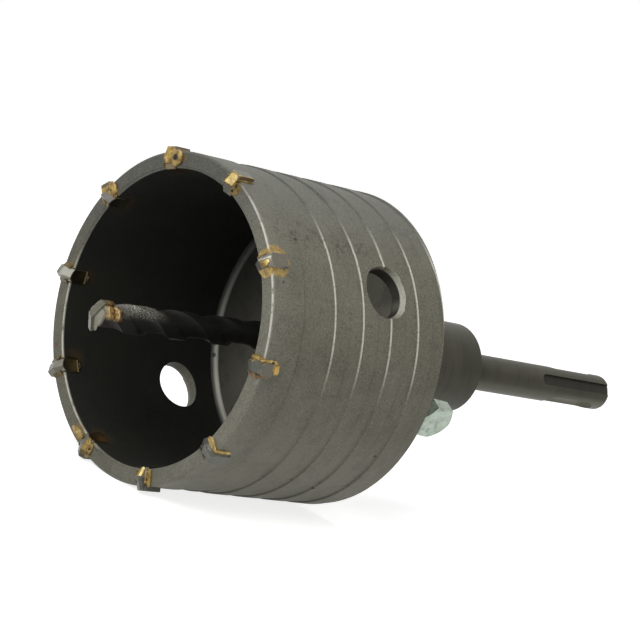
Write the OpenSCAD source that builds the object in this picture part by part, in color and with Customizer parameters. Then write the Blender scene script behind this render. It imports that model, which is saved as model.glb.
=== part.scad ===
// Hollow core drill bit: a grooved steel cup with brazed carbide teeth on its
// rim, a threaded arbor with a grooved hammer-drill shank, a fluted pilot drill
// and the hex bolt that locks the pilot drill. Millimetres.
// +X runs along the tool's axis from the teeth towards the shank, +Z is up with
// the bit lying on its side. The origin is on the shank's axis, in the middle of
// its plain stretch. Angles round the axis start at +Z and turn towards -Y.

/* [Cup] */
// Outer diameter of the steel cup, over its lands
cup_d = 82.5; // [72:0.5:100]
// Length of the cup from its rim to its back edge
cup_len = 59; // [54:0.5:90]
// Wall thickness of the cup
cup_wall = 4.3; // [3:0.1:6]
// Thickness of the cup's back plate
plate_t = 6.8; // [4:0.1:10]
// Bevel between the cup's inner wall and the back plate
plate_bevel = 1.4; // [0.4:0.1:3]
// Bevel on the rim's outer edge
rim_bevel_out = 0.6; // [0.2:0.1:1]
// Bevel on the rim's inner edge
rim_bevel_in = 0.6; // [0.2:0.1:1]
// Bevel on the cup's back edge
back_bevel = 0.5; // [0.2:0.1:2]
// Diameter of the threaded hole in the back plate, over the thread
plate_hole_d = 22; // [16:0.5:24]

/* [Cup grooves] */
// Length of the plain land in front of the grooves
front_land = 10.2; // [9:0.1:14]
// Length of the wide ring groove behind it
ring_groove = 8.4; // [4:0.1:12]
// Depth of the grooves
groove_depth = 0.4; // [0.2:0.05:0.8]
// Length of one turn of the helical groove along the axis
groove_pitch = 9.57; // [8:0.01:12]
// Width of the helical groove along the axis
groove_w = 4.75; // [3:0.05:6]
// Distance from the rim to the helix groove's middle where it starts, at the top
groove_start = 16.55; // [14:0.05:20]
// Width of the bevel on the groove's edges
groove_bevel = 0.3; // [0.1:0.05:0.4]

/* [Dust holes] */
// Diameter of the two dust holes
hole_d = 12.5; // [8:0.1:14]
// Diameter of their countersunk mouths on the outside
hole_mouth_d = 14.1; // [14:0.1:18]
// Depth of the countersink
hole_mouth_h = 1.9; // [0.5:0.1:2.5]
// Distance from the rim to the holes' axis
hole_x = 38.5; // [30:0.1:44]
// Angle of the first hole round the axis
hole_angle_1 = 57.1; // [40:0.1:80]
// Angle of the second hole round the axis
hole_angle_2 = 232.5; // [220:0.1:260]

/* [Teeth] */
// Thickness of a carbide tooth, measured round the rim
tooth_w = 3.3; // [2.5:0.1:4]
// Distance that a tooth stands out of the rim's outer wall
tooth_out = 1.05; // [0.6:0.05:2]
// Distance that a tooth stands into the cup from its inner wall
tooth_in = 0.4; // [0.2:0.05:1]
// Distance from the rim forward to a tooth's ridge
tooth_rise = 1.9; // [1.2:0.1:3]
// Distance from the ridge back to a tooth's shoulders
tooth_roof = 1.0; // [0.4:0.1:1.1]
// Sideways distance of the ridge from the tooth's middle
tooth_lead = 0.5; // [0:0.1:1]
// Depth of a tooth's seat in the rim
tooth_seat = 4.6; // [3:0.1:6]
// Thickness of the braze between a tooth and its seat
braze_t = 0.25; // [0.1:0.05:0.4]
// Width and height of the braze fillet beside a tooth
braze_leg = 0.8; // [0.3:0.1:0.9]

/* [Arbor] */
// Diameter of the arbor's hub behind the cup
hub_d = 24.5; // [23:0.1:34]
// Length of the hub behind the cup
hub_len = 47; // [38:0.5:60]
// Bevel on the hub's back edge
hub_bevel = 0.8; // [0.2:0.1:2]
// Diameter of the shank
shank_d = 10; // [9.6:0.1:10.4]
// Length of the shank behind the hub
shank_len = 64; // [60:0.5:90]
// Rounding of the shank's end
shank_round = 1.9; // [0.5:0.1:2.5]
// Distance from the hub's back face to the origin
shank_ref = 16; // [12:0.5:17]

/* [Shank grooves] */
// Width of the two drive slots
slot_w = 3; // [2:0.1:3.4]
// Distance between the drive slots' floors
slot_floor = 7.5; // [6.8:0.1:8.4]
// Length of the drive slots from the shank's end
slot_len = 30.4; // [24:0.1:34]
// Angle of the first drive slot round the axis
slot_angle = 63; // [0:1:180]
// Radius of the two ball grooves
ball_r = 4; // [3:0.1:4.5]
// Distance between the ball grooves' floors
ball_floor = 6.2; // [5.8:0.1:7.4]
// Length of the ball grooves
ball_len = 20.4; // [14:0.1:22]
// Distance from the shank's end to the ball grooves
ball_end = 4.6; // [3:0.1:8]

/* [Pilot drill] */
// Diameter of the pilot drill over its lands
pilot_d = 7.2; // [6:0.1:8]
// Diameter of the pilot drill's plain back part
pilot_shank_d = 7.5; // [6:0.1:8]
// Distance that the edge of its steel front stands in front of the cup's rim
pilot_reach = 18.4; // [12:0.1:24]
// Height of the cone ground on its steel front
pilot_cone = 1.8; // [0.5:0.1:2.4]
// Distance from the cup's back edge forward to where the flutes end
flute_stop = 5; // [0:0.5:12]
// Distance that the pilot drill reaches into the hub, from the cup's back edge
pilot_in_hub = 33; // [28:0.5:36]
// Length of one turn of the flutes
flute_pitch = 28.1; // [18:0.1:36]
// Angle round the axis that each of its two lands takes
land_angle = 64; // [50:1:80]
// Angle over which a flute's steep side rises
side_angle = 14; // [6:1:24]
// Angle of the flutes' steep sides round the axis at the drill's front end
flute_angle = 144; // [0:1:180]
// Thickness of the drill's core between the flutes
core_t = 5.3; // [4.6:0.1:5.8]
// Angle at which the pilot drill leans away from the cup's axis
pilot_lean = 2; // [0:0.1:2.5]
// Distance from the cup's back edge forward to the point about which it leans
lean_x = 21; // [10:0.5:40]
// Direction round the axis in which its tip leans
lean_angle = 163; // [0:1:360]

/* [Pilot tip] */
// Width of the carbide plate
tip_w = 8.1; // [7:0.1:9]
// Thickness of the carbide plate
tip_t = 1.7; // [1.4:0.1:2.6]
// Length of the plate along its sides
tip_len = 3.2; // [2.6:0.1:6]
// Distance from the plate's side corners forward to its point
tip_point = 1.9; // [1:0.1:2.4]
// Distance that the plate's point stands in front of the steel's
tip_ahead = 0.5; // [0.2:0.1:1]
// Clearance angle behind the plate's cutting edges
tip_relief_angle = 12; // [4:1:20]
// Thickness of the copper braze round the plate
tip_braze = 0.2; // [0.1:0.05:0.3]
// Angle of the plate round the axis
tip_angle = 17; // [0:1:180]

/* [Lock bolt] */
// Diameter of the lock bolt's thread
bolt_d = 6; // [5:0.5:8]
// Width across the flats of its head
bolt_af = 10; // [9:0.5:13]
// Height of its head
bolt_head_h = 4; // [3:0.1:5]
// Distance from the tool's axis to the head's underside
bolt_reach = 20.2; // [18:0.1:24]
// Distance from the tool's axis to the bolt's tip
bolt_tip = 1.9; // [1.4:0.1:2.2]
// Distance from the cup's back edge to the bolt's axis
bolt_x = 24.8; // [18:0.1:28]
// Angle of the bolt round the axis
bolt_angle = 118.5; // [0:0.5:360]
// Turn of the hexagon about the bolt's own axis
bolt_turn = 55; // [0:1:60]
// Distance that the drill's flat runs past the bolt on each side
flat_run = 1.5; // [0.5:0.1:3]

/* [Hidden] */
fine = 96;
mid = 64;
cut = 1;
rim_x = -(shank_ref + hub_len + cup_len);
back_x = rim_x + cup_len;
plate_x = back_x - plate_t;
hub_x = back_x + hub_len;
hub_z = plate_t + hub_len;
end_x = hub_x + shank_len;
cup_r = cup_d / 2;
bore_r = cup_r - cup_wall;
floor_r = cup_r - groove_depth;
ring_x0 = front_land;
ring_x1 = front_land + ring_groove;
tooth_n = 10;
tooth_step = 360 / tooth_n;
tooth_a0 = tooth_step / 2;
tooth_r0 = bore_r - tooth_in;
tooth_r1 = cup_r + tooth_out;
seat_w = tooth_w + 2 * braze_t;
helix_step = 90;
helix_n = ceil(4 * (cup_len - groove_start) / groove_pitch) + 4;
tilt = atan(groove_pitch / (8 * sin(45) * cup_r));
nose_d = plate_hole_d;
slot_r = slot_floor / 2;
ball_c = ball_floor / 2 + ball_r;
round_n = 6;
land_n = 8;
core_r = core_t / 2;
pilot_r = pilot_d / 2;
pilot_x0 = -pilot_reach - pilot_cone;
pilot_x1 = cup_len + pilot_in_hub;
pilot_flute_end = cup_len - flute_stop;
flute_heel_angle = acos(core_r / pilot_r);
flute_floor_angle = 180 - land_angle - flute_heel_angle - side_angle;
flute_len = pilot_flute_end + cut - pilot_x0;
flute_turn = 360 * flute_len / flute_pitch;
tip_x0 = pilot_x0 - tip_ahead;
tip_back = tip_x0 + tip_point + tip_len;
tip_slope = tip_point / (tip_w / 2);
bolt_corner_d = bolt_af / cos(30);
bolt_face_d = 0.95 * bolt_af;
bolt_bevel_r = bolt_corner_d / 2 + cut;
bolt_bevel_h = (bolt_bevel_r - bolt_face_d / 2) * tan(30);
bolt_px = back_x + bolt_x;
pilot_flat_l = bolt_d + 2 * flat_run;

// Turn a shape built about +Z so that it lies along +X
module along_x() {
    rotate([0, 90, 0]) children();
}

// Place something built at +Z at an angle round the axis
module at_angle(a) {
    rotate([a, 0, 0]) children();
}

// The pilot drill's own frame, with its origin on the rim's plane
module pilot_frame() {
    translate([back_x - lean_x, 0, 0])
        rotate([lean_angle, 0, 0]) rotate([0, pilot_lean, 0]) rotate([-lean_angle, 0, 0])
            translate([lean_x - cup_len, 0, 0]) children();
}

// A quarter turn of the helical groove, cut by a tilted ring
module groove_quarter(i) {
    x = groove_start + i * groove_pitch / 4;
    at_angle(i * helix_step)
        intersection() {
            translate([rim_x + x, 0, 0]) rotate([0, 0, tilt]) along_x()
                rotate_extrude($fn = fine)
                    polygon([[floor_r, -groove_w / 2 + groove_bevel],
                             [floor_r, groove_w / 2 - groove_bevel],
                             [cup_r + cut, groove_w / 2 + cut],
                             [cup_r + cut, -groove_w / 2 - cut]]);
            translate([rim_x + x - groove_pitch, 0, 0]) rotate([45, 0, 0])
                cube([2 * groove_pitch, cup_d, cup_d]);
        }
}

module cup_body() {
    translate([rim_x, 0, 0]) along_x() rotate_extrude($fn = fine)
        polygon([[bore_r + rim_bevel_in, 0], [cup_r - rim_bevel_out, 0],
                 [cup_r, rim_bevel_out], [cup_r, ring_x0],
                 [floor_r, ring_x0 + groove_bevel],
                 [floor_r, ring_x1 - groove_bevel],
                 [cup_r, ring_x1], [cup_r, cup_len - back_bevel],
                 [cup_r - back_bevel, cup_len], [plate_hole_d / 2, cup_len],
                 [plate_hole_d / 2, cup_len - plate_t],
                 [bore_r - plate_bevel, cup_len - plate_t],
                 [bore_r, cup_len - plate_t - plate_bevel],
                 [bore_r, rim_bevel_in]]);
}

module dust_hole() {
    translate([rim_x + hole_x, 0, 0]) {
        translate([0, 0, bore_r / 2]) cylinder(h = bore_r, d = hole_d, $fn = mid);
        translate([0, 0, cup_r - hole_mouth_h])
            cylinder(h = hole_mouth_h + cut, d1 = hole_d,
                     d2 = hole_d + (hole_mouth_d - hole_d) * (hole_mouth_h + cut)
                          / hole_mouth_h, $fn = mid);
    }
}

module tooth_slot(i) {
    at_angle(tooth_a0 + i * tooth_step)
        translate([rim_x - cut, -seat_w / 2, bore_r - cup_wall])
            cube([tooth_seat + braze_t + cut, seat_w, 3 * cup_wall]);
}

module cup() {
    color([0.42, 0.41, 0.37])
        difference() {
            cup_body();
            for (i = [0 : helix_n - 1]) groove_quarter(i);
            rotate([hole_angle_1, 0, 0]) dust_hole();
            rotate([hole_angle_2, 0, 0]) dust_hole();
            for (i = [0 : tooth_n - 1]) tooth_slot(i);
        }
}

module tooth(i) {
    color([0.5, 0.5, 0.47])
        at_angle(tooth_a0 + i * tooth_step)
            translate([rim_x, 0, tooth_r0])
                linear_extrude(tooth_r1 - tooth_r0)
                    polygon([[tooth_seat, -tooth_w / 2],
                             [-tooth_rise + tooth_roof, -tooth_w / 2],
                             [-tooth_rise, tooth_lead],
                             [-tooth_rise + tooth_roof, tooth_w / 2],
                             [tooth_seat, tooth_w / 2]]);
}

module braze(i) {
    color([0.72, 0.55, 0.25])
        at_angle(tooth_a0 + i * tooth_step) {
            difference() {
                intersection() {
                    translate([rim_x, -seat_w / 2, bore_r - cup_wall])
                        cube([tooth_seat + braze_t, seat_w, 3 * cup_wall]);
                    translate([rim_x, 0, 0]) along_x()
                        difference() {
                            cylinder(h = 2 * tooth_seat, r = cup_r, $fn = fine);
                            translate([0, 0, -cut])
                                cylinder(h = 2 * tooth_seat + 2 * cut, r = bore_r,
                                         $fn = fine);
                        }
                }
                translate([rim_x - cut, -tooth_w / 2, bore_r - 2 * cup_wall])
                    cube([tooth_seat + cut, tooth_w, 5 * cup_wall]);
            }
            for (s = [-1, 1])
                translate([rim_x, 0, bore_r + rim_bevel_in])
                    linear_extrude(cup_wall - rim_bevel_in - 1.2 * rim_bevel_out)
                        polygon([[0, s * tooth_w / 2],
                                 [-braze_leg, s * tooth_w / 2],
                                 [0, s * (seat_w / 2 + braze_leg)]]);
        }
}

module tooth_01() { tooth(0); }
module tooth_02() { tooth(1); }
module tooth_03() { tooth(2); }
module tooth_04() { tooth(3); }
module tooth_05() { tooth(4); }
module tooth_06() { tooth(5); }
module tooth_07() { tooth(6); }
module tooth_08() { tooth(7); }
module tooth_09() { tooth(8); }
module tooth_10() { tooth(9); }
module braze_01() { braze(0); }
module braze_02() { braze(1); }
module braze_03() { braze(2); }
module braze_04() { braze(3); }
module braze_05() { braze(4); }
module braze_06() { braze(5); }
module braze_07() { braze(6); }
module braze_08() { braze(7); }
module braze_09() { braze(8); }
module braze_10() { braze(9); }

// Threaded nose, hub and shank, turned as one piece
module arbor_turned() {
    translate([plate_x, 0, 0]) along_x() rotate_extrude($fn = fine)
        polygon(concat(
            [[0, 0], [nose_d / 2, 0], [nose_d / 2, plate_t], [hub_d / 2, plate_t],
             [hub_d / 2, hub_z - hub_bevel], [hub_d / 2 - hub_bevel, hub_z],
             [shank_d / 2, hub_z]],
            [for (k = [0 : round_n])
                [shank_d / 2 - shank_round * (1 - cos(90 * k / round_n)),
                 hub_z + shank_len - shank_round * (1 - sin(90 * k / round_n))]],
            [[0, hub_z + shank_len]]));
}

module drive_slot() {
    translate([end_x - slot_len + slot_w / 2, 0, slot_r])
        linear_extrude(shank_d)
            polygon(concat(
                [for (k = [0 : 2 * round_n])
                    [-slot_w / 2 * sin(90 * k / round_n),
                     slot_w / 2 * cos(90 * k / round_n)]],
                [[slot_len, -slot_w / 2], [slot_len, slot_w / 2]]));
}

module ball_groove() {
    half = ball_len / 2 - sqrt(ball_r * ball_r - pow(ball_c - shank_d / 2, 2));
    translate([end_x - ball_end - ball_len / 2, 0, ball_c]) along_x()
        rotate_extrude($fn = mid)
            polygon(concat(
                [for (k = [0 : round_n])
                    [ball_r * sin(90 * k / round_n),
                     -half - ball_r * cos(90 * k / round_n)]],
                [for (k = [0 : round_n])
                    [ball_r * cos(90 * k / round_n),
                     half + ball_r * sin(90 * k / round_n)]]));
}

module arbor() {
    color([0.3, 0.29, 0.25])
        difference() {
            arbor_turned();
            rotate([slot_angle, 0, 0]) drive_slot();
            rotate([slot_angle + 180, 0, 0]) drive_slot();
            rotate([slot_angle + 90, 0, 0]) ball_groove();
            rotate([slot_angle - 90, 0, 0]) ball_groove();
            pilot_frame() along_x()
                cylinder(h = pilot_x1, d = pilot_shank_d, $fn = mid);
            translate([bolt_px, 0, 0]) rotate([bolt_angle, 0, 0])
                translate([0, 0, bolt_tip])
                    cylinder(h = hub_d, d = bolt_d, $fn = mid);
        }
}

function polar(r, a) = [r * cos(a), r * sin(a)];

// Two lands and two flutes, each with a steep side, a round floor and a flat heel
module drill_section() {
    half = concat(
        [for (k = [0 : land_n]) polar(pilot_r, land_angle * k / land_n)],
        [for (k = [0 : round_n])
            polar(core_r, land_angle + flute_heel_angle + flute_floor_angle * k / round_n)]);
    polygon(concat(half, [for (p = half) -p]));
}

// The drill's round form with its cone-shaped front, of radius r where the cone ends
module pilot_round(r, x1) {
    translate([pilot_x0, 0, 0]) along_x() rotate_extrude($fn = mid)
        polygon([[0, 0], [r, pilot_cone * r / pilot_r], [r, x1 - pilot_x0],
                 [0, x1 - pilot_x0]]);
}

module tip_slot(x0, x1, t) {
    rotate([tip_angle, 0, 0]) translate([x0, -t / 2, -pilot_d])
        cube([x1 - x0, t, 2 * pilot_d]);
}

module pilot_drill() {
    color([0.2, 0.2, 0.18])
        difference() {
            pilot_frame() {
                difference() {
                    intersection() {
                        translate([pilot_x0, 0, 0]) rotate([flute_angle, 0, 0]) along_x()
                            linear_extrude(height = flute_len, twist = -flute_turn,
                                           slices = 2 * round(flute_turn / 20))
                                drill_section();
                        pilot_round(pilot_r + cut, pilot_flute_end + 2 * cut);
                    }
                    tip_slot(tip_x0 - cut, tip_back + tip_braze, tip_t + 2 * tip_braze);
                }
                translate([pilot_flute_end, 0, 0]) along_x()
                    cylinder(h = pilot_x1 - pilot_flute_end, d = pilot_shank_d,
                             $fn = mid);
            }
            translate([bolt_px, 0, 0]) rotate([bolt_angle, 0, 0])
                translate([-pilot_flat_l / 2, -pilot_shank_d, bolt_tip])
                    cube([pilot_flat_l, 2 * pilot_shank_d, pilot_shank_d]);
        }
}

// All that lies behind the clearance face of one cutting edge
module tip_lip() {
    translate([tip_x0 - tan(tip_relief_angle) * tip_t / 2, tip_t / 2, 0])
        rotate([0, atan(tip_slope * cos(tip_relief_angle)), tip_relief_angle])
            translate([0, -2 * tip_w, -2 * tip_w]) cube(4 * tip_w);
}

module pilot_tip() {
    color([0.6, 0.6, 0.57])
        pilot_frame() rotate([tip_angle, 0, 0])
            intersection() {
                translate([tip_x0 - cut, -tip_t / 2, -tip_w])
                    cube([tip_back - tip_x0 + cut, tip_t, 2 * tip_w]);
                translate([tip_x0 - 2 * cut, 0, 0]) along_x()
                    cylinder(h = tip_back - tip_x0 + 4 * cut, d = tip_w, $fn = mid);
                tip_lip();
                rotate([180, 0, 0]) tip_lip();
            }
}

module pilot_braze() {
    color([0.7, 0.42, 0.22])
        pilot_frame()
            difference() {
                intersection() {
                    tip_slot(pilot_x0, tip_back + tip_braze, tip_t + 2 * tip_braze);
                    pilot_round(pilot_r, tip_back + 2 * cut);
                }
                tip_slot(pilot_x0 - cut, tip_back, tip_t);
            }
}

module lock_bolt() {
    color([0.75, 0.78, 0.75])
        translate([bolt_px, 0, 0]) rotate([bolt_angle, 0, 0]) {
            translate([0, 0, bolt_tip])
                cylinder(h = bolt_reach - bolt_tip, d = bolt_d, $fn = mid);
            translate([0, 0, bolt_reach])
                intersection() {
                    rotate([0, 0, bolt_turn])
                        cylinder(h = bolt_head_h, d = bolt_corner_d, $fn = 6);
                    rotate_extrude($fn = mid)
                        polygon([[0, -cut], [bolt_bevel_r, -cut],
                                 [bolt_bevel_r, bolt_head_h - bolt_bevel_h],
                                 [bolt_face_d / 2, bolt_head_h], [0, bolt_head_h]]);
                }
        }
}

cup();
tooth_01();
tooth_02();
tooth_03();
tooth_04();
tooth_05();
tooth_06();
tooth_07();
tooth_08();
tooth_09();
tooth_10();
braze_01();
braze_02();
braze_03();
braze_04();
braze_05();
braze_06();
braze_07();
braze_08();
braze_09();
braze_10();
arbor();
pilot_drill();
pilot_tip();
pilot_braze();
lock_bolt();
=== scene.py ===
import math
import bmesh
import bpy
from mathutils import Matrix, Vector, noise


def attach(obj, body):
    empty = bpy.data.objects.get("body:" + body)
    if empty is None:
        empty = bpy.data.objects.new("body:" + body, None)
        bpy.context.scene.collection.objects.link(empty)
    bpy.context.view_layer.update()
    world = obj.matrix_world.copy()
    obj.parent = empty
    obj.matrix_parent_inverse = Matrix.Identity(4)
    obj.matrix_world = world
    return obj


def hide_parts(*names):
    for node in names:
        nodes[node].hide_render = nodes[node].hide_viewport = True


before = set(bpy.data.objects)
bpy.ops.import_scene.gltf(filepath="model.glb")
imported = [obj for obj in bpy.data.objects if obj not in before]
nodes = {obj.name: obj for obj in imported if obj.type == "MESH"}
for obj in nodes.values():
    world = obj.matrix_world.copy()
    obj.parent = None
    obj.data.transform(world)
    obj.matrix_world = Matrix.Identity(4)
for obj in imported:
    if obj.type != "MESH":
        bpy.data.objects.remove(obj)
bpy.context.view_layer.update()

# The part's own sizes, in millimetres and degrees, as in its source. Along the axis, _X is a
# place in the frame, and _S or s is a distance behind the rim's plane.
MM = 0.001
RIM_X = -122.0
CUP_R = 41.25
BORE_R = 36.95
PLATE_S = 52.2
TOOTH_STEP = 36.0
TEETH_COUNT = 10
RING_FRONT = 10.2
RING_REAR = 18.6
HELIX_START = 16.55
HELIX_PITCH = 9.57
HELIX_HALF = 2.38
HOLE_S = 38.5
HOLE_R = 6.25
HOLE_ANGLE = 57.1
PILOT_LEAN = 2.0
PILOT_LEAN_DIR = 163.0
PILOT_PIVOT_S = 38.0
PILOT_FRONT_S = -18.4
HUB_END_X = -16.0
SHANK_END_X = 48.0
SLOT_FLOOR_R = 4.6
FLOOR_Z = -CUP_R

# A tooth's roof: its ridge runs outwards from the bore, and falls off both ways from its peak
RIDGE_S = -1.9
RIDGE_Y = 0.5
PEAK_W = 39.1
SIDE_FALLS = (-1.0 / 2.15, 1.0 / 1.15)
INNER_FALL = -0.48
OUTER_FALL = 0.3
# Width of the bevel along a tooth's edges
TOOTH_EDGE = 0.09

# Corners closer than this, in metres, are joined
WELD = 1e-6
# Faces of a tooth that turn less than this from each other are joined
FLAT_ANGLE = math.radians(2)
# Edges of the drill that turn less than this are shaded smooth
EDGE_ANGLE = math.radians(28)

BLACK = (0.0, 0.0, 0.0)


def srgb(*values):
    """A colour named by its 0 to 255 display values, in scene values."""
    shares = [value / 255 for value in values]
    return tuple(c / 12.92 if c <= 0.04045 else ((c + 0.055) / 1.055) ** 2.4 for c in shares)


def tooth_turn(i):
    """The turn round the axis that brings a tooth's own axes to its place."""
    return Matrix.Rotation(math.radians(TOOTH_STEP * (i - 0.5)), 3, "X")


def on_cup(angle, s, r=CUP_R):
    """A place in metres from an angle round the axis, from the top towards -Y."""
    a = math.radians(angle)
    return Vector((RIM_X + s, -r * math.sin(a), r * math.cos(a))) * MM


def at_tooth(i, s, y, w):
    """A place in metres from a tooth's own millimetres: s behind the rim's plane,
    y across the tooth and w outwards from the cup's axis."""
    return (Vector((RIM_X, 0, 0)) + tooth_turn(i) @ Vector((s, y, w))) * MM


# Materials

class Finish:
    """One procedural material: a shader and the nodes that feed it."""

    def __init__(self, name):
        self.mat = bpy.data.materials.new(name)
        self.mat.use_nodes = True
        self.tree = self.mat.node_tree
        self.tree.nodes.clear()
        self.out = self.node("ShaderNodeOutputMaterial")
        self.bsdf = self.node("ShaderNodeBsdfPrincipled")
        self.tree.links.new(self.bsdf.outputs[0], self.out.inputs[0])
        self.place = self.node("ShaderNodeTexCoord").outputs["Object"]

    def node(self, kind):
        """A new node of the material."""
        return self.tree.nodes.new(kind)

    def put(self, value, socket):
        """Feed a socket from another node, or with a colour or a plain value."""
        if isinstance(value, bpy.types.NodeSocket):
            self.tree.links.new(value, socket)
        elif socket.type == "RGBA":
            socket.default_value = (*value, 1.0)
        else:
            socket.default_value = value

    def math(self, kind, a, b=None):
        """One step of arithmetic."""
        n = self.node("ShaderNodeMath")
        n.operation = kind
        self.put(a, n.inputs[0])
        if b is not None:
            self.put(b, n.inputs[1])
        return n.outputs[0]

    def in_mm(self, metres):
        """The same length in millimetres."""
        return self.math("MULTIPLY", metres, 1000.0)

    def without(self, mask):
        """1 where the mask is 0, and 0 where it is 1."""
        return self.math("SUBTRACT", 1.0, mask)

    def vector(self, kind, a, b):
        """One step with two vectors, or with a vector and a scale."""
        n = self.node("ShaderNodeVectorMath")
        n.operation = kind
        self.put(a, n.inputs[0])
        self.put(b, n.inputs["Scale" if kind == "SCALE" else 1])
        return n.outputs["Value" if kind in ("DISTANCE", "DOT_PRODUCT") else "Vector"]

    def length(self, v):
        """The length of a vector."""
        n = self.node("ShaderNodeVectorMath")
        n.operation = "LENGTH"
        self.put(v, n.inputs[0])
        return n.outputs["Value"]

    def axes(self, v=None):
        """The three parts of a vector, or of the place."""
        n = self.node("ShaderNodeSeparateXYZ")
        self.put(v or self.place, n.inputs[0])
        return n.outputs[0], n.outputs[1], n.outputs[2]

    def join(self, x, y, z):
        """One vector from its three parts."""
        n = self.node("ShaderNodeCombineXYZ")
        for i, v in enumerate((x, y, z)):
            self.put(v, n.inputs[i])
        return n.outputs[0]

    def noise(self, scale, detail=2.0, rough=0.5, v=None, output="Fac"):
        """Cloudy noise, from 0 to 1."""
        n = self.node("ShaderNodeTexNoise")
        self.put(v or self.place, n.inputs["Vector"])
        n.inputs["Scale"].default_value = scale
        n.inputs["Detail"].default_value = detail
        n.inputs["Roughness"].default_value = rough
        return n.outputs[output]

    def cells(self, scale):
        """Distance from the nearest of many scattered points."""
        n = self.node("ShaderNodeTexVoronoi")
        self.put(self.place, n.inputs["Vector"])
        n.inputs["Scale"].default_value = scale
        return n.outputs["Distance"]

    def span(self, value, low, high, to_low=0.0, to_high=1.0):
        """A smooth step from one result to the other as the value goes from low to high."""
        n = self.node("ShaderNodeMapRange")
        n.interpolation_type = "SMOOTHSTEP"
        self.put(value, n.inputs["Value"])
        ends = (("From Min", low), ("From Max", high), ("To Min", to_low), ("To Max", to_high))
        for name, v in ends:
            n.inputs[name].default_value = v
        return n.outputs[0]

    def band(self, value, low, high, soft):
        """1 between two values, with soft ends."""
        up = self.span(value, low - soft, low + soft)
        down = self.span(value, high + soft, high - soft)
        return self.math("MULTIPLY", up, down)

    def times(self, *masks):
        """The masks multiplied together."""
        product = masks[0]
        for m in masks[1:]:
            product = self.math("MULTIPLY", product, m)
        return product

    def most(self, masks):
        """The highest of the masks at each place."""
        top = masks[0]
        for m in masks[1:]:
            top = self.math("MAXIMUM", top, m)
        return top

    def mix(self, amount, a, b):
        """From tone a to tone b. The node's colour sockets are its inputs 6 and 7 and output 2."""
        n = self.node("ShaderNodeMix")
        n.data_type = "RGBA"
        self.put(amount, n.inputs[0])
        self.put(a, n.inputs[6])
        self.put(b, n.inputs[7])
        return n.outputs[2]

    def darker(self, amount, tone, share):
        """The tone, darkened by a share where the amount is 1."""
        return self.mix(self.math("MULTIPLY", amount, share), tone, BLACK)

    def spot(self, place, centre, radius, soft=0.3):
        """1 inside a ball, falling to 0 over its soft outer part."""
        far = self.vector("DISTANCE", place, tuple(centre))
        return self.span(far, radius * (1 + soft) * MM, radius * (1 - soft) * MM)

    def shaken(self, amount, scale):
        """The place shaken by noise, for ragged edges."""
        swing = self.vector("SUBTRACT", self.noise(scale, output="Color"), (0.5, 0.5, 0.5))
        return self.vector("ADD", self.place, self.vector("SCALE", swing, amount * MM))

    def tooth_place(self, i, ragged):
        """A tooth's own s, y and w in millimetres, with slightly ragged edges."""
        turn = self.node("ShaderNodeMapping")
        turn.inputs["Rotation"].default_value = (-math.radians(TOOTH_STEP * (i - 0.5)), 0.0, 0.0)
        self.put(self.shaken(ragged, 900), turn.inputs["Vector"])
        x, y, w = (self.in_mm(c) for c in self.axes(turn.outputs[0]))
        return self.math("SUBTRACT", x, RIM_X), y, w

    def braze(self):
        """Braze: its tone, pale on the heights and brown in the hollows, and its height."""
        cloud = self.noise(520, 3, 0.6)
        fine = self.noise(2100, 3, 0.6)
        tone = self.mix(self.span(cloud, 0.34, 0.6), srgb(104, 80, 32), srgb(170, 142, 74))
        tone = self.mix(self.span(cloud, 0.56, 0.7, 0.0, 0.7), tone, srgb(224, 200, 134))
        tone = self.mix(self.span(fine, 0.56, 0.74, 0.0, 0.5), tone, srgb(226, 206, 148))
        return tone, self.math("ADD", cloud, self.math("MULTIPLY", fine, 0.25))

    def bump(self, height, depth, strength, under=None):
        """A relief by height, laid over another relief where one is given."""
        n = self.node("ShaderNodeBump")
        n.inputs["Strength"].default_value = strength
        n.inputs["Distance"].default_value = depth
        self.put(height, n.inputs["Height"])
        if under is not None:
            self.put(under, n.inputs["Normal"])
        return n.outputs[0]

    def finish(self, tone, rough, metal, normal):
        """Feed the shader and give its material."""
        self.put(tone, self.bsdf.inputs["Base Color"])
        self.put(rough, self.bsdf.inputs["Roughness"])
        self.put(metal, self.bsdf.inputs["Metallic"])
        self.put(normal, self.bsdf.inputs["Normal"])
        return self.mat


# Brazing stains on the rim: tooth, place and size, in the tooth's own millimetres
RIM_STAINS = [(9, (0, -2.4, 37.9), 1.0), (8, (0, -2.3, 38.3), 1.1), (7, (0, -2.6, 37.6), 0.7),
              (7, (0, 2.0, 38.3), 0.7), (5, (0, 2.6, 38.8), 1.1), (1, (0, -3.2, 39.4), 1.2),
              (10, (0, -5.0, 39.2), 1.0), (3, (0, -2.6, 39.5), 0.7), (6, (0, -5.0, 38.8), 2.4)]
# Brown smoke of the brazing in the bore, given in the same way
BORE_SMOKE = [(9, (4.0, 0, 36.9), 3.0), (6, (4.6, -1.4, 36.9), 2.8), (7, (4.5, -2.2, 36.9), 2.4),
              (8, (5.4, 0, 36.9), 2.0)]
# Nicks in the cup's outside: angle round the axis, distance behind the rim, size
NICKS = [(116.8, 50.0, 0.6), (138.7, 41.7, 0.5), (44.4, 9.7, 0.5), (40.9, 17.3, 0.4),
         (61.0, 3.4, 0.35), (250.0, 22.0, 0.5), (300.0, 35.0, 0.6), (340.0, 46.0, 0.4)]
# Dark specks on the bevel of the back plate: angle, distance from the axis, size
PLATE_SPECKS = [(252.2, 36.1, 0.45), (247.6, 36.3, 0.6), (240.0, 35.7, 0.4)]


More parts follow.
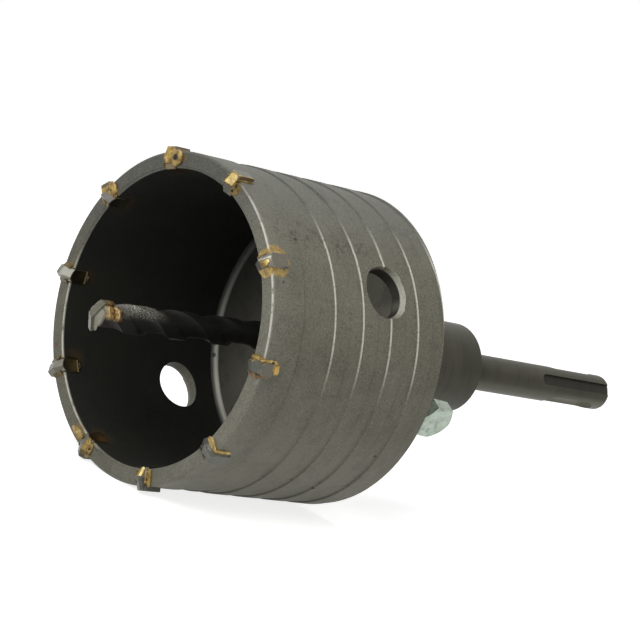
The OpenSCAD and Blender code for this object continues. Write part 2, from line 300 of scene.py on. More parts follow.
class CupFinish(Finish):
    """The cup's steel, with places by distance behind the rim, radius and turn round the axis."""

    def __init__(self):
        super().__init__("cup_steel")
        x, self.y, self.z = self.axes()
        self.radius = self.in_mm(self.length(self.join(0.0, self.y, self.z)))
        self.s = self.math("SUBTRACT", self.in_mm(x), RIM_X)
        # The turn is 0 at the top, 0.25 at -Y, -0.25 at +Y and half a turn at the bottom
        around = self.math("ARCTAN2", self.math("MULTIPLY", self.y, -1.0), self.z)
        self.turn = self.math("DIVIDE", around, 2 * math.pi)
        self.cloud = self.noise(48, 5, 0.66)
        self.patch = self.noise(210, 4, 0.62)
        self.grain = self.noise(2300, 2, 0.6)
        self.blotches = self.span(self.patch, 0.5, 0.36)
        self.chips = self.shaken(0.7, 1300)
        self.rag = self.shaken(1.6, 700)
        nicks = self.most([self.spot(self.chips, on_cup(a, s), r, 0.25) for a, s, r in NICKS])
        pits = self.times(self.span(self.cells(190), 0.05, 0.03),
                          self.span(self.noise(95, 1, 0.5), 0.57, 0.6))
        self.hollows = self.math("MAXIMUM", nicks, pits)

    def sandblasted(self):
        """Blotched grey steel, paler behind the rim and darker above, scuffed and grained."""
        tone = self.mix(self.span(self.cloud, 0.35, 0.65), srgb(104, 102, 87), srgb(115, 113, 98))
        by_rim = self.times(self.span(self.s, 10.0, 1.0, 0.0, 0.3), self.span(self.turn, 0.06, 0.14))
        tone = self.mix(by_rim, tone, srgb(142, 141, 128))
        above = self.band(self.turn, -0.2, 0.09, 0.05)
        tone = self.mix(above, tone, self.mix(0.7, tone, srgb(98, 99, 93)))
        tone = self.darker(self.blotches, tone, 0.16)
        scuffs = self.times(self.span(self.noise(520, 4, 0.7), 0.5, 0.62),
                            self.band(self.turn, 0.105, 0.13, 0.012),
                            self.band(self.s, 3.0, 36.0, 3.0))
        tone = self.darker(scuffs, tone, 0.5)
        tone = self.darker(self.span(self.grain, 0.52, 0.34), tone, 0.34)
        return self.mix(self.span(self.grain, 0.56, 0.74, 0.0, 0.5), tone, srgb(150, 148, 136))

    def grooves(self, tone):
        """Groove edges: a painted highlight, partly worn bright metal, on the rear ones on the lit side,
        and painted shade as thin dark lines on the front edges and the other rear edges.
        """
        outer = self.span(self.radius, CUP_R - 0.8, CUP_R - 0.55)
        turns = self.math("DIVIDE", self.math("SUBTRACT", self.s, HELIX_START), HELIX_PITCH)
        phase = self.math("FRACT", self.math("ADD", self.math("SUBTRACT", turns, self.turn), 0.5))
        off = self.math("MULTIPLY", self.math("SUBTRACT", phase, 0.5), HELIX_PITCH)
        past_ring = self.span(self.s, RING_REAR - 0.2, RING_REAR + 0.3)
        land = self.span(self.math("ABSOLUTE", off), HELIX_HALF - 0.1, HELIX_HALF + 0.1)
        rear = self.math(
            "MAXIMUM", self.times(self.band(off, HELIX_HALF - 0.24, HELIX_HALF + 0.04, 0.08), past_ring),
            self.times(self.band(self.s, RING_REAR - 0.28, RING_REAR, 0.08), land))
        fore = self.math(
            "MAXIMUM", self.times(self.band(off, -HELIX_HALF - 0.1, -HELIX_HALF + 0.2, 0.06), past_ring),
            self.band(self.s, RING_FRONT - 0.1, RING_FRONT + 0.2, 0.06))
        # The lit side, where the rear edges get a painted highlight broken up by wear
        lit_side = self.band(self.turn, 0.1, 0.245, 0.035)
        wear_and_glint = self.span(self.noise(1300, 2, 0.6), 0.3, 0.5, 0.55, 1.0)
        tone = self.mix(self.times(rear, lit_side, wear_and_glint, outer), tone, srgb(186, 184, 172))
        # Painted shade: thin dark lines along the front edges
        tone = self.darker(self.times(fore, self.span(self.grain, 0.36, 0.5), outer), tone, 0.42)
        # Painted shade: dark rear edges away from the lit side
        return self.darker(self.times(rear, self.without(lit_side), outer), tone, 0.3)

    def rim_face(self, tone):
        """The rim's front face, darker away from -Y, and the slightly paler lands low down."""
        away = self.without(self.band(self.turn, 0.07, 0.38, 0.04))
        face = self.times(self.span(self.s, 0.35, 0.2), away)
        tone = self.darker(face, tone, 0.16)
        tone = self.darker(self.times(face, self.band(self.turn, -0.12, 0.06, 0.04)), tone, 0.14)
        low_lands = self.times(self.band(self.turn, 0.3, 0.42, 0.05),
                               self.span(self.s, 8.0, 12.0, 0.0, 0.12))
        return self.mix(low_lands, tone, srgb(150, 148, 132))

    def braze_film(self, tone):
        """A film of braze all round the second tooth."""
        film = self.spot(self.shaken(0.7, 1000), at_tooth(2, 1.95, 0.1, 41.0), 3.95, 0.12)
        gold = self.mix(self.span(self.noise(700, 3, 0.6), 0.4, 0.6),
                        srgb(146, 116, 58), srgb(182, 152, 86))
        return self.mix(self.times(film, self.span(self.patch, 0.3, 0.6, 0.7, 0.95)), tone, gold)

    def rim_bevels(self, tone):
        """The rim's bevels, with painted highlights outside on the -Y side and inside on the +Y side."""
        # Noise that breaks up the painted highlights
        glint_breakup = self.span(self.noise(260, 3, 0.6), 0.3, 0.5)
        outside = self.times(self.band(self.s, 0.0, 0.36, 0.06),
                             self.span(self.radius, CUP_R - 0.65, CUP_R - 0.5),
                             self.band(self.turn, 0.075, 0.25, 0.03))
        tone = self.mix(self.times(outside, glint_breakup), tone, srgb(190, 188, 178))
        inside = self.times(self.band(self.radius, BORE_R + 0.15, BORE_R + 0.41, 0.05),
                            self.band(self.turn, -0.46, -0.23, 0.02), self.span(self.s, 0.75, 0.6))
        return self.mix(self.times(inside, glint_breakup), tone, srgb(184, 182, 170))

    def dust_hole(self, tone):
        """The near dust hole: a painted highlight on the edge of its rear side, over a dark wall with
        painted shade and painted light in a band across it.
        """
        bend = math.radians(HOLE_ANGLE)
        across = self.in_mm(self.vector("DOT_PRODUCT", self.place, (0, math.cos(bend), math.sin(bend))))
        out = self.in_mm(self.vector("DOT_PRODUCT", self.place, (0, -math.sin(bend), math.cos(bend))))
        back = self.math("SUBTRACT", self.s, HOLE_S)
        reach = self.length(self.join(back, across, 0.0))
        in_hole = self.times(self.span(reach, HOLE_R + 0.85, HOLE_R + 0.75), self.span(out, 30.0, 31.0))
        # Painted highlight on the edge at the hole's rear side
        rear = self.times(self.span(self.math("DIVIDE", back, reach), 0.2, 0.95),
                          self.span(self.grain, 0.25, 0.55, 0.5, 1.0))
        tone = self.mix(self.times(in_hole, rear), tone, srgb(180, 178, 164))
        # The wall: dark, partly its own tone and partly painted shade, with painted light in a band across
        # it
        wall = self.times(self.span(reach, HOLE_R + 0.1, HOLE_R + 0.02), in_hole)
        shade = self.mix(self.band(across, -3.4, -1.0, 1.4), srgb(34, 33, 26), srgb(92, 91, 80))
        return self.mix(wall, tone, shade)

    def dents(self, tone):
        """Dark nicks and pits."""
        return self.darker(self.hollows, tone, 0.7)

    def rim_stains(self, tone):
        """Brown brazing stains on the rim, and a spot of rust by the seventh tooth."""
        stains = self.most([self.spot(self.rag, at_tooth(i, *c), r, 0.4) for i, c, r in RIM_STAINS])
        tone = self.mix(self.math("MULTIPLY", stains, 0.7), tone, srgb(118, 98, 56))
        rust = self.spot(self.shaken(1.0, 1300), at_tooth(7, 0, -6.0, 38.8), 0.7, 0.6)
        return self.mix(self.math("MULTIPLY", rust, 0.6), tone, srgb(96, 50, 38))

    def back_plate(self):
        """The dark grey plate behind the bore, with painted light on its lower -Y part and painted shadow
        on the rest, and a bevel round it with a painted highlight, stronger low down, and dark specks.
        """
        # Painted light on the plate's lower -Y part, painted shadow on the rest
        plate_light = self.math("ADD", self.math("MULTIPLY", self.y, -0.8), self.math("MULTIPLY", self.z, -0.25))
        tone = self.mix(self.span(plate_light, -0.033, 0.012), srgb(46, 46, 39), srgb(140, 138, 124))
        tone = self.darker(self.blotches, tone, 0.2)
        # Painted highlight on the bevel, stronger low down
        bevel = self.times(self.band(self.radius, BORE_R - 1.15, BORE_R - 0.8, 0.6),
                           self.span(self.s, PLATE_S - 2.0, PLATE_S - 1.2),
                           self.span(self.z, 0.024, -0.026, 0.12, 1.0))
        tone = self.mix(bevel, tone, srgb(244, 242, 228))
        specks = self.most([self.spot(self.chips, on_cup(a, PLATE_S - 0.9, r), size)
                            for a, r, size in PLATE_SPECKS])
        return self.darker(specks, tone, 0.85)

    def inside(self, tone):
        """The nearly black bore, partly its dark finish and partly painted shade, with brown brazing
        smoke, and the back plate behind it.
        """
        bore = self.times(self.span(self.radius, BORE_R + 0.3, BORE_R + 0.05),
                          self.span(self.s, 0.5, 0.75), self.span(self.s, PLATE_S + 3.0, PLATE_S + 2.0))
        # Near black: the bore's dark finish with painted shade
        black = self.mix(self.span(self.cloud, 0.3, 0.7), srgb(19, 19, 15), srgb(29, 29, 22))
        smoke = self.most([self.spot(self.rag, at_tooth(i, *c), r, 0.6) for i, c, r in BORE_SMOKE])
        black = self.mix(self.math("MULTIPLY", smoke, 0.55), black, srgb(62, 48, 22))
        behind = self.span(self.s, PLATE_S - 1.75, PLATE_S - 0.7)
        return self.mix(bore, tone, self.mix(behind, black, self.back_plate()))


def cup_steel():
    """Sandblasted steel, dark inside, with worn groove edges and brazing stains."""
    f = CupFinish()
    tone = f.sandblasted()
    for layer in (f.grooves, f.rim_face, f.braze_film, f.rim_bevels, f.dust_hole, f.dents,
                  f.rim_stains, f.inside):
        tone = layer(tone)
    normal = f.bump(f.math("ADD", f.grain, f.math("MULTIPLY", f.patch, 0.6)), 0.00012, 0.6)
    normal = f.bump(f.without(f.hollows), 0.0002, 0.8, normal)
    return f.finish(tone, f.span(f.grain, 0.3, 0.7, 0.58, 0.7), 0.2, normal)


def tooth_carbide(i, grey, coats, inner):
    """One tooth: sintered grey, painted light and shade on its facets, its braze-covered parts, and a dark
    inner end.
    """
    f = Finish("carbide_%02d" % i)
    s, y, w = f.tooth_place(i, 0.4)
    fleck = f.noise(1900, 3, 0.6)
    tone = f.mix(f.span(fleck, 0.35, 0.65), srgb(*[c - 6 for c in grey]), srgb(*[c + 6 for c in grey]))
    braze, height = f.braze()
    golden = []
    for s_range, y_range, w_range, coat in coats:
        amount = f.times(f.band(s, *s_range, 0.08), f.band(y, *y_range, 0.12), f.band(w, *w_range, 0.12))
        if coat in (BRAZED, BRAZE_GLINT):
            golden.append(amount)
            # A braze-glint coat is braze with a painted highlight on it
            laid = braze if coat == BRAZED else f.mix(0.55, braze, srgb(226, 204, 136))
        else:
            laid = srgb(*coat)
        tone = f.mix(amount, tone, laid)

    # The inner end in the bore is dark with smoke and with painted shade, and on some teeth pale at its
    # back
    end = f.times(f.span(w, BORE_R - 0.15, BORE_R - 0.3), f.span(s, -0.6, -0.2))
    depth = f.mix(f.span(s, 0.4, 3.4), f.mix(0.7, srgb(*inner), BLACK), srgb(*inner))
    depth = f.darker(f.span(height, 0.66, 0.5), depth, 0.5)
    if i in PALE_ENDS:
        depth = f.mix(f.math("MULTIPLY", f.span(s, 4.0, 4.2), 0.8), depth, srgb(160, 146, 106))
    tone = f.mix(end, tone, depth)

    normal = f.bump(fleck, 0.00004, 0.4)
    metal = 0.2
    if golden:
        gold = f.most(golden)
        normal = f.bump(f.math("MULTIPLY", height, gold), 0.0005, 0.7, normal)
        metal = f.span(gold, 0.0, 1.0, 0.2, 0.45)
    return f.finish(tone, 0.4, metal, normal)


def braze_gold(i, high_side, low_side, pores):
    """The braze round one tooth: rough gold, duller on one side or both, with a few dark pores."""
    f = Finish("braze_%02d" % i)
    s, y, w = f.tooth_place(i, 0.8)
    tone, height = f.braze()
    for side, (colour, share) in ((f.span(y, 0.2, 0.8), high_side), (f.span(y, -0.2, -0.8), low_side)):
        tone = f.mix(f.math("MULTIPLY", side, share), tone, srgb(*colour))
    hole = f.times(f.span(f.cells(560), 0.12, 0.08), f.span(f.noise(260, 1, 0.5), 0.5, 0.54))
    if pores:
        rag = f.shaken(0.25, 1600)
        hole = f.most([hole] + [f.spot(rag, at_tooth(i, *c), r, 0.2) for c, r in pores])
    tone = f.mix(hole, tone, srgb(26, 19, 8))
    # Darker inside the bore: brazing smoke and painted shade
    in_bore = f.times(f.span(w, BORE_R + 0.35, BORE_R + 0.05), f.span(s, 0.3, 0.6))
    tone = f.mix(in_bore, tone, srgb(40, 31, 15))
    normal = f.bump(height, 0.0005, 0.7)
    normal = f.bump(f.without(hole), 0.0005, 0.8, normal)
    return f.finish(tone, f.span(height, 0.4, 1.0, 0.46, 0.34), 0.45, normal)


def arbor_steel():
    """Dark turned steel of the hub and the shank, with painted shadow in the drive slots, a painted dark
    reflection along the shank's middle and painted light on its underside.
    """
    f = Finish("arbor_steel")
    x, y, z = f.axes()
    along = f.in_mm(x)
    up = f.in_mm(z)
    radius = f.in_mm(f.length(f.join(0.0, y, z)))
    cloud = f.noise(70, 4, 0.6)
    streak = f.noise(700, 2, 0.5, f.join(x, f.math("MULTIPLY", y, 0.1), f.math("MULTIPLY", z, 0.1)))
    tone = f.mix(f.span(cloud, 0.3, 0.7), srgb(60, 59, 48), srgb(74, 72, 60))
    tone = f.darker(f.span(streak, 0.5, 0.34), tone, 0.14)
    pits = f.span(f.cells(260), 0.04, 0.02)
    tone = f.mix(f.math("MULTIPLY", pits, 0.5), tone, srgb(140, 138, 128))
    # Painted shadow on the upper part of the drive slots
    slot_shadow = f.times(f.span(radius, SLOT_FLOOR_R + 0.1, SLOT_FLOOR_R), f.span(along, 0.0, 1.0),
                    f.span(along, SHANK_END_X - 0.3, SHANK_END_X - 0.6), f.span(up, -2.6, -1.2))
    tone = f.darker(slot_shadow, tone, 0.5)
    shank = f.span(along, HUB_END_X - 0.5, HUB_END_X + 0.5)
    # A painted dark reflection along the middle of the shank
    tone = f.darker(f.times(shank, f.band(up, -1.2, 2.2, 1.0)), tone, 0.2)
    # Painted light on the shank's underside, stronger towards its end
    lit_underside = f.times(shank, f.span(up, -0.6, -2.6), f.span(along, 20.0, 36.0, 0.22, 0.42))
    tone = f.mix(lit_underside, tone, srgb(132, 130, 114))
    f.bsdf.inputs["Specular IOR Level"].default_value = 0.2
    normal = f.bump(f.noise(2600), 0.00004, 0.5)
    return f.finish(tone, f.span(cloud, 0.3, 0.7, 0.4, 0.48), 0.3, normal)


class PilotFinish(Finish):
    """A finish with places along the leaning pilot drill."""

    def __init__(self, name):
        super().__init__(name)
        lean = (Matrix.Rotation(math.radians(PILOT_LEAN_DIR), 3, "X")
                @ Matrix.Rotation(math.radians(PILOT_LEAN), 3, "Y")
                @ Matrix.Rotation(math.radians(-PILOT_LEAN_DIR), 3, "X"))
        pivot = tuple(Vector((RIM_X + PILOT_PIVOT_S, 0, 0)) * MM)
        moved = self.vector("SUBTRACT", self.place, pivot)
        along = self.in_mm(self.vector("DOT_PRODUCT", moved, tuple(lean.col[0])))
        self.s = self.math("ADD", along, PILOT_PIVOT_S)
        self.height = self.in_mm(self.vector("DOT_PRODUCT", moved, tuple(lean.col[2])))

    def front(self):
        """1 on the ground front of the drill."""
        return self.span(self.s, PILOT_FRONT_S + 0.25, PILOT_FRONT_S - 0.05)

    def copper(self, tone):
        """Copper braze that ran back from the carbide plate over the drill's front, in two
        pale ridges with a brown hollow between them. Gives the tone and the braze's height."""
        gold, height = self.braze()
        gold = self.mix(0.4, gold, srgb(204, 154, 88))
        wave = self.math("MULTIPLY", self.math("SUBTRACT", self.noise(650, 3, 0.6), 0.5), 3.6)
        s = self.math("ADD", self.s, wave)
        ridges = self.math("MAXIMUM", self.band(s, -17.6, -16.9, 0.3), self.band(s, -15.2, -14.3, 0.35))
        gold = self.mix(self.math("MULTIPLY", ridges, 0.75), gold, srgb(228, 200, 148))
        gold = self.mix(self.band(s, -16.4, -15.7, 0.35), gold, srgb(84, 56, 26))
        zone = self.band(s, PILOT_FRONT_S, -13.7, 0.25)
        halo = self.band(s, PILOT_FRONT_S, -12.9, 0.4)
        upper = self.span(self.height, -0.5, 0.9)
        tone = self.mix(halo, tone, self.mix(upper, srgb(20, 15, 8), srgb(52, 36, 16)))
        golden = self.times(zone, upper, self.span(self.height, 3.2, 2.6, 0.25, 1.0))
        tone = self.mix(golden, tone, gold)
        return tone, self.times(self.math("ADD", height, ridges), zone, upper)


def pilot_steel():
    """Sandblasted drill: ground grey front, copper band, then near-black flutes, with painted light and
    painted glints on its top ahead of the rim.
    """
    f = PilotFinish("pilot_steel")
    grain = f.noise(3400, 3, 0.6)
    top = f.span(f.height, 0.2, 2.8)
    ahead = f.span(f.s, 2.0, -4.0)
    tone = f.mix(f.span(grain, 0.35, 0.7), srgb(20, 20, 16), srgb(32, 32, 26))
    # Painted light on the drill's top ahead of the rim, and painted glints there
    tone = f.mix(f.times(top, ahead), tone, srgb(62, 61, 54))
    top_glints = f.times(f.span(f.noise(5200, 1, 0.5), 0.52, 0.68), ahead, top)
    tone = f.mix(top_glints, tone, srgb(186, 184, 170))
    tone, lumps = f.copper(tone)
    ground = f.mix(f.span(grain, 0.3, 0.7), srgb(124, 122, 107), srgb(148, 146, 130))
    tone = f.mix(f.front(), tone, ground)
    normal = f.bump(grain, 0.00012, 0.8)
    normal = f.bump(lumps, 0.0006, 0.9, normal)
    return f.finish(tone, 0.5, 0.2, normal)


def tip_carbide():
    """Ground carbide plate, with copper on the part behind its front."""
    f = PilotFinish("tip_carbide")
    fleck = f.noise(1900, 3, 0.6)
    tone = f.mix(f.span(fleck, 0.3, 0.7), srgb(96, 95, 82), srgb(110, 108, 94))
    behind = f.span(f.s, PILOT_FRONT_S - 0.4, PILOT_FRONT_S + 0.2)
    tone = f.mix(behind, tone, f.copper(tone)[0])
    return f.finish(tone, 0.42, 0.25, f.bump(fleck, 0.00003, 0.4))


def copper_braze():
    """The layer round the plate: ground grey in front, brown and copper behind."""
    f = PilotFinish("copper_braze")
    tone, lumps = f.copper(srgb(30, 22, 12))
    tone = f.mix(f.front(), tone, srgb(116, 114, 100))
    return f.finish(tone, 0.45, 0.3, f.bump(lumps, 0.0005, 0.8))


def zinc_plate():
    """Pale zinc plating of the bolt, a little stained on its face."""
    f = Finish("zinc_plate")
    cloud = f.noise(330, 4, 0.6)
    blot = f.noise(520, 3, 0.6)
    tone = f.mix(f.span(cloud, 0.35, 0.65), srgb(152, 164, 150), srgb(172, 184, 171))
    tone = f.mix(f.span(blot, 0.54, 0.64, 0.0, 0.5), tone, srgb(104, 118, 102))
    normal = f.bump(f.noise(1800), 0.00004, 0.4)
    return f.finish(tone, f.span(blot, 0.4, 0.7, 0.26, 0.38), 0.7, normal)


# The teeth: the carbide's grey, its coats and the colour of the inner end. A coat is laid
# between limits of s, y and w, in the tooth's own millimetres, as braze, as braze with a
# painted highlight, or in a colour. The greys and many coat colours hold painted light and
# shade, so that each facet is lighter or darker by how it is lit.
BRAZED = "brazed"
# Braze with a painted highlight on it
BRAZE_GLINT = "braze_glint"
ROOF = (-3.0, -0.3)
BODY = (-0.6, 6.0)
WIDE = (-3.0, 3.0)
STEEP = (RIDGE_Y, 3.0)
INNER = (36.0, PEAK_W)
OUTER = (PEAK_W, 44.0)
WHOLE = (36.0, 44.0)
END = (42.2, 44.0)
PALE_ENDS = (7, 8)
TEETH = {
    1: ((104, 104, 94), [(ROOF, WIDE, INNER, (78, 77, 69)), (ROOF, WIDE, OUTER, BRAZED),
                         (ROOF, (-1.5, 0.6), (39.4, 41.9), BRAZE_GLINT),
                         (BODY, (-3.0, -1.55), OUTER, (112, 92, 54)),
                         (BODY, (-3.0, -0.9), END, BRAZED)], (44, 40, 28)),
    2: ((124, 122, 110), [(ROOF, WIDE, (36.0, 38.7), (72, 71, 62)),
                          ((-1.9, -0.7), (-1.4, 0.1), (39.0, 41.6), BRAZED),
                          # A painted highlight along the ridge
                          (ROOF, (0.25, 0.55), (38.7, 42.3), (196, 194, 184)),
                          (BODY, WIDE, END, (104, 99, 86))], (60, 59, 50)),
    3: ((80, 80, 71), [((-0.8, 2.6), WIDE, (40.8, 44.0), (102, 98, 86)),
                       ((2.9, 6.0), (-0.9, 3.0), END, BRAZED), ((2.4, 4.0), (0.0, 3.0), END, BRAZED),
                       ((3.0, 4.2), (-0.5, 1.2), END, (198, 158, 78)),
                       (ROOF, (0.9, 3.0), INNER, BRAZED)], (52, 53, 42)),
    4: ((86, 86, 76), [(ROOF, WIDE, (36.0, 38.4), (62, 62, 57))], (36, 35, 27)),
    5: ((78, 77, 68), [(ROOF, (1.1, 3.0), WHOLE, (46, 38, 20)),
                       (ROOF, (-3.0, 1.1), (36.0, 38.8), BRAZE_GLINT)], (44, 38, 22)),
    6: ((98, 97, 86), [(ROOF, STEEP, (36.0, 41.6), BRAZED), (ROOF, STEEP, (39.9, 44.0), (92, 78, 44)),
                       (ROOF, WIDE, (41.4, 44.0), (66, 64, 54))], (84, 62, 30)),
    7: ((136, 134, 122), [(ROOF, WIDE, (40.2, 44.0), (100, 99, 89)),
                          (ROOF, STEEP, WHOLE, (104, 100, 86))], (78, 66, 36)),
    8: ((176, 174, 162), [(ROOF, WIDE, (40.3, 44.0), (118, 118, 106)),
                          (ROOF, (0.6, 3.0), WHOLE, (120, 116, 100))], (40, 33, 16)),
    9: ((124, 120, 114), [(ROOF, WIDE, (39.3, 41.0), BRAZED), (ROOF, (-3.0, -0.9), (38.0, 42.0), BRAZED),
                          (ROOF, WIDE, (41.0, 44.0), (98, 86, 58))], (40, 38, 20)),
    10: ((124, 108, 82), [(ROOF, WIDE, OUTER, BRAZED), (ROOF, WIDE, (37.9, 39.4), BRAZED),
                          (BODY, WIDE, END, BRAZED), (ROOF, (0.2, 3.0), INNER, (124, 102, 60))],
         (66, 50, 24)),
}

# The braze beside each tooth: balls of it as centre, half sizes along s, y and w, and unevenness
BRAZE_BALLS = {
    1: [((0.0, -2.4, 39.2), (0.5, 1.2, 1.9), 1.0), ((2.3, -1.9, 41.25), (2.6, 0.45, 0.42), 0.5),
        ((0.1, 2.0, 39.2), (0.35, 0.6, 1.6), 0.5)],
    2: [((2.4, 0.1, 41.0), (2.2, 2.9, 0.5), 0.5), ((0.0, 2.3, 39.3), (0.3, 1.2, 1.9), 0.3),
        ((0.0, -2.4, 39.4), (0.26, 1.4, 1.9), 0.3)],
    3: [((-0.15, 1.9, 39.3), (0.7, 0.75, 2.4), 0.3), ((1.6, 1.8, 41.3), (2.8, 0.6, 0.6), 0.3),
        ((3.2, 0.5, 41.6), (1.45, 1.9, 0.66), 0.2), ((1.2, -1.9, 41.0), (2.4, 0.45, 0.45), 0.5),
        ((0.0, -2.0, 39.2), (0.25, 0.6, 1.7), 0.6)],
    4: [((-0.2, 1.95, 39.1), (0.6, 0.85, 2.3), 0.2), ((2.1, 1.95, 41.35), (2.7, 0.65, 0.5), 0.2)],
    5: [((-0.2, 2.5, 39.2), (0.6, 0.85, 2.3), 0.3), ((2.4, 1.9, 41.0), (2.0, 0.3, 0.22), 0.4)],
    6: [((-0.2, 2.2, 39.3), (0.7, 0.9, 2.0), 0.8), ((0.05, -5.0, 38.95), (0.25, 2.7, 1.1), 0.5),
        ((3.8, -1.9, 36.95), (1.8, 0.9, 0.3), 0.8)],
    7: [((5.1, -0.3, 36.75), (0.42, 1.25, 0.5), 0.8), ((2.6, -1.9, 36.9), (2.2, 0.6, 0.35), 0.8)],
    8: [((5.1, 0.2, 36.75), (0.45, 1.0, 0.5), 0.8)],
    9: [((-0.3, -2.3, 39.2), (0.9, 1.3, 2.1), 0.7), ((0.1, 1.9, 38.8), (0.3, 0.5, 1.4), 0.6),
        ((0.2, -1.6, 37.2), (0.5, 0.9, 0.5), 0.8)],
    10: [((-0.35, -2.7, 39.2), (1.1, 2.1, 2.1), 0.25), ((0.0, 1.9, 39.2), (0.5, 0.6, 1.9), 0.5)],
}

# The braze's dulling colour and its share on a tooth's high and low side, and its larger pores
BROWN = (62, 50, 26)
STEEL = (84, 82, 72)
FILM = (166, 148, 104)
RED = (104, 76, 58)
BRAZE_LOOKS = {
    1: ((BROWN, 0.2), (BROWN, 0.6), [((-0.4, -2.4, 39.9), 0.35), ((-0.3, -2.0, 38.3), 0.4)]),
    2: ((FILM, 0.4), (FILM, 0.35), []),
    3: ((FILM, 0.1), (RED, 0.7), [((2.4, 1.9, 41.9), 0.35), ((3.4, -1.6, 41.6), 0.45)]),
    4: ((FILM, 0.2), (STEEL, 0.9), [((2.6, 2.0, 41.6), 0.2)]),
    5: ((BROWN, 0.25), (BROWN, 0.3), [((-0.7, 2.4, 38.2), 0.25), ((-0.7, 2.6, 39.6), 0.25)]),
    6: ((BROWN, 0.3), (BROWN, 0.2), [((-0.8, 2.4, 39.9), 0.3), ((-0.9, 2.6, 38.6), 0.35)]),
    7: ((BROWN, 0.85), (BROWN, 0.85), []),
    8: ((BROWN, 0.9), (BROWN, 0.75), []),
    9: ((BROWN, 0.3), (FILM, 0.1), [((-0.9, -2.2, 38.6), 0.42), ((-0.2, -1.4, 37.4), 0.35)]),
    10: ((BROWN, 0.3), (FILM, 0.15), [((-1.1, -3.1, 39.3), 0.8)]),
}


# Pieces

def paint(node_name, material):
    """Give a node of the frame its finish."""
    for slot in nodes[node_name].material_slots:
        slot.material = material


def copy_of(node_name):
    """A copy of a node's mesh, with its doubled corners joined."""
    bm = bmesh.new()
    bm.from_mesh(nodes[node_name].data)
    bmesh.ops.remove_doubles(bm, verts=bm.verts, dist=WELD)
    return bm


def show(obj):
    """Put an object in the picture."""
    bpy.context.scene.collection.objects.link(obj)


def add_piece(name, bm, node_name, material):
    """Put a new piece in the place of a node of the frame."""
    bmesh.ops.recalc_face_normals(bm, faces=bm.faces)
    mesh = bpy.data.meshes.new(name)
    bm.to_mesh(mesh)
    bm.free()
    mesh.materials.append(material)
    piece = bpy.data.objects.new(name, mesh)
    show(piece)
    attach(piece, "root")
    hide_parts(node_name)


def tooth_piece(i):
    """One tooth with its roof cut down inwards and outwards from its peak."""
    bm = copy_of("tooth_%02d" % i)
    peak = at_tooth(i, RIDGE_S, RIDGE_Y, PEAK_W)
    for side_fall in SIDE_FALLS:
        for end_fall in (INNER_FALL, OUTER_FALL):
            outwards = tooth_turn(i) @ Vector((-1.0, side_fall, end_fall))
            bmesh.ops.bisect_plane(bm, geom=bm.verts[:] + bm.edges[:] + bm.faces[:], plane_co=peak,
                                   plane_no=outwards, dist=1e-7, clear_outer=True)
            bmesh.ops.holes_fill(bm, edges=[e for e in bm.edges if e.is_boundary])
    bmesh.ops.dissolve_limit(bm, angle_limit=FLAT_ANGLE, verts=bm.verts, edges=bm.edges)
    bmesh.ops.bevel(bm, geom=bm.edges[:], offset=TOOTH_EDGE * MM, segments=2, affect="EDGES")
    add_piece("tooth_cut_%02d" % i, bm, "tooth_%02d" % i, tooth_carbide(i, *TEETH[i]))


def ball_of_braze(bm, i, centre, half, rough, seed):
    """One rounded, uneven ball of braze in a tooth's own place."""
    made = bmesh.ops.create_icosphere(bm, subdivisions=4, radius=1.0)["verts"]
    turn = tooth_turn(i)
    origin = at_tooth(i, *centre)
    for v in made:
        wide = noise.noise(v.co * 1.7 + Vector((seed, 0, 0)))
        fine = noise.noise(v.co * 5 + Vector((0, seed, 0)))
        push = 1 + rough * (0.22 * wide + 0.07 * fine)
        v.co = origin + turn @ Vector([v.co[k] * push * half[k] * MM for k in range(3)])


def braze_piece(i):
    """The braze of one tooth: the seam of its seat, with the balls that stand on it."""
    bm = copy_of("braze_%02d" % i)
    seam_faces = len(bm.faces)
    for k, (centre, half, rough) in enumerate(BRAZE_BALLS[i]):
        ball_of_braze(bm, i, centre, half, rough, TEETH_COUNT * i + k)
    bm.faces.ensure_lookup_table()
    for face in bm.faces[seam_faces:]:
        face.smooth = True
    add_piece("braze_run_%02d" % i, bm, "braze_%02d" % i, braze_gold(i, *BRAZE_LOOKS[i]))


def drill_piece():
    """The pilot drill with its twisted flutes shaded smooth between their edges."""
    bm = copy_of("pilot_drill")
    for face in bm.faces:
        face.smooth = True
    for edge in bm.edges:
        edge.smooth = edge.calc_face_angle(0.0) < EDGE_ANGLE
    add_piece("pilot_drill_smooth", bm, "pilot_drill", pilot_steel())


paint("cup", cup_steel())
for number in range(1, TEETH_COUNT + 1):
    tooth_piece(number)
    braze_piece(number)
paint("arbor", arbor_steel())
drill_piece()
paint("pilot_tip", tip_carbide())
paint("pilot_braze", copper_braze())
paint("lock_bolt", zinc_plate())


# Floor, light and camera, in metres

FLOOR_HALF = 6.0
FLOOR_GLOW = 0.78
WORLD_LIGHT = 0.19
# Each lamp's name, place, target, size and power
LAMPS = [("overhead", (-0.15, -0.05, 0.8), (-0.08, 0, 0), 0.5, 2.6),
         ("key", (-0.8, -0.35, 0.55), (-0.09, 0, 0), 0.4, 4.0)]
# The photo's camera, found from the cup's, hub's and shank's outlines
CAMERA_PLACE = (-0.492635, -0.438798, 0.082888)
CAMERA_RIGHT = (0.71287, -0.63753, 0.29218)
CAMERA_UP = (-0.12939, 0.28991, 0.94827)
CAMERA_LENS = 133.6


def seen_rays(tree):
    """1 for rays of the camera, of reflections and through glass, and 0 for light's own rays."""
    path = tree.nodes.new("ShaderNodeLightPath")
    total = path.outputs["Is Camera Ray"]
    for name in ("Is Glossy Ray", "Is Transmission Ray"):
        n = tree.nodes.new("ShaderNodeMath")
        n.operation = "ADD"
        n.use_clamp = True
        tree.links.new(total, n.inputs[0])
        tree.links.new(path.outputs[name], n.inputs[1])
        total = n.outputs[0]
    return total


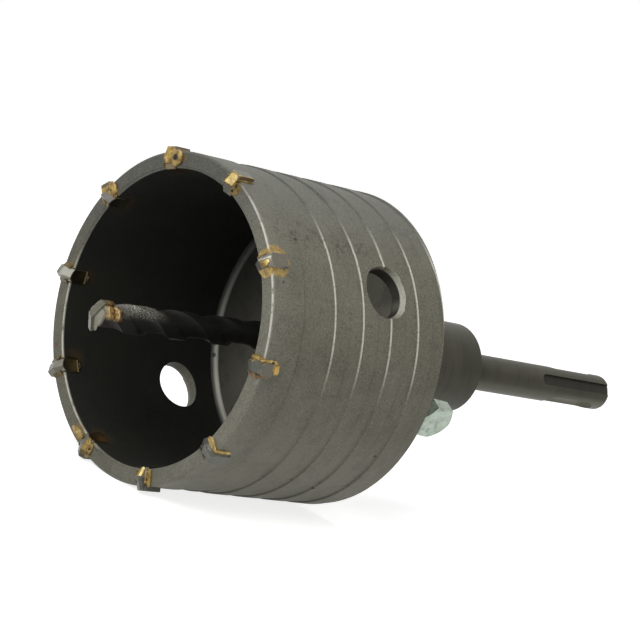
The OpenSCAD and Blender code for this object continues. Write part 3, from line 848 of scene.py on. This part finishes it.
def floor_finish():
    """White to the eye and to reflections, with the object's pale shadow on it."""
    f = Finish("floor")
    f.put(srgb(226, 226, 226), f.bsdf.inputs["Base Color"])
    f.put(0.9, f.bsdf.inputs["Roughness"])
    glow = f.node("ShaderNodeEmission")
    f.put(f.math("MULTIPLY", seen_rays(f.tree), FLOOR_GLOW), glow.inputs["Strength"])
    add = f.node("ShaderNodeAddShader")
    f.tree.links.new(f.bsdf.outputs[0], add.inputs[0])
    f.tree.links.new(glow.outputs[0], add.inputs[1])
    f.tree.links.new(add.outputs[0], f.out.inputs[0])
    return f.mat


def make_floor():
    """A wide flat floor that the cup lies on."""
    bm = bmesh.new()
    bmesh.ops.create_grid(bm, x_segments=1, y_segments=1, size=FLOOR_HALF,
                          matrix=Matrix.Translation((0, 0, FLOOR_Z * MM)))
    mesh = bpy.data.meshes.new("floor")
    bm.to_mesh(mesh)
    bm.free()
    mesh.materials.append(floor_finish())
    floor = bpy.data.objects.new("floor", mesh)
    show(floor)


def make_world():
    """A weak even light all round, which is white to the eye and to reflections."""
    world = bpy.data.worlds.new("studio")
    bpy.context.scene.world = world
    world.use_nodes = True
    tree = world.node_tree
    tree.nodes.clear()
    out = tree.nodes.new("ShaderNodeOutputWorld")
    mix = tree.nodes.new("ShaderNodeMixShader")
    tree.links.new(seen_rays(tree), mix.inputs[0])
    for socket, strength in ((1, WORLD_LIGHT), (2, 1.0)):
        light = tree.nodes.new("ShaderNodeBackground")
        light.inputs["Color"].default_value = (1, 1, 1, 1)
        light.inputs["Strength"].default_value = strength
        tree.links.new(light.outputs[0], mix.inputs[socket])
    tree.links.new(mix.outputs[0], out.inputs[0])


def make_lamp(name, place, target, size, power):
    """A soft square lamp that faces its target."""
    data = bpy.data.lights.new(name, "AREA")
    data.shape = "SQUARE"
    data.size = size
    data.energy = power
    lamp = bpy.data.objects.new(name, data)
    lamp.location = place
    lamp.rotation_mode = "QUATERNION"
    lamp.rotation_quaternion = (Vector(target) - Vector(place)).to_track_quat("-Z", "Y")
    show(lamp)


def make_camera():
    """The photo's camera, set as the scene's own."""
    data = bpy.data.cameras.new("camera")
    data.sensor_width = 36.0
    data.lens = CAMERA_LENS
    data.clip_start = 0.05
    data.clip_end = 20.0
    cam = bpy.data.objects.new("camera", data)
    right = Vector(CAMERA_RIGHT)
    up = Vector(CAMERA_UP)
    turn = Matrix((right, up, right.cross(up))).transposed()
    cam.matrix_world = Matrix.Translation(CAMERA_PLACE) @ turn.to_4x4()
    show(cam)
    bpy.context.scene.camera = cam


make_floor()
make_world()
for lamp_values in LAMPS:
    make_lamp(*lamp_values)
make_camera()

bpy.context.scene.view_settings.view_transform = "Standard"
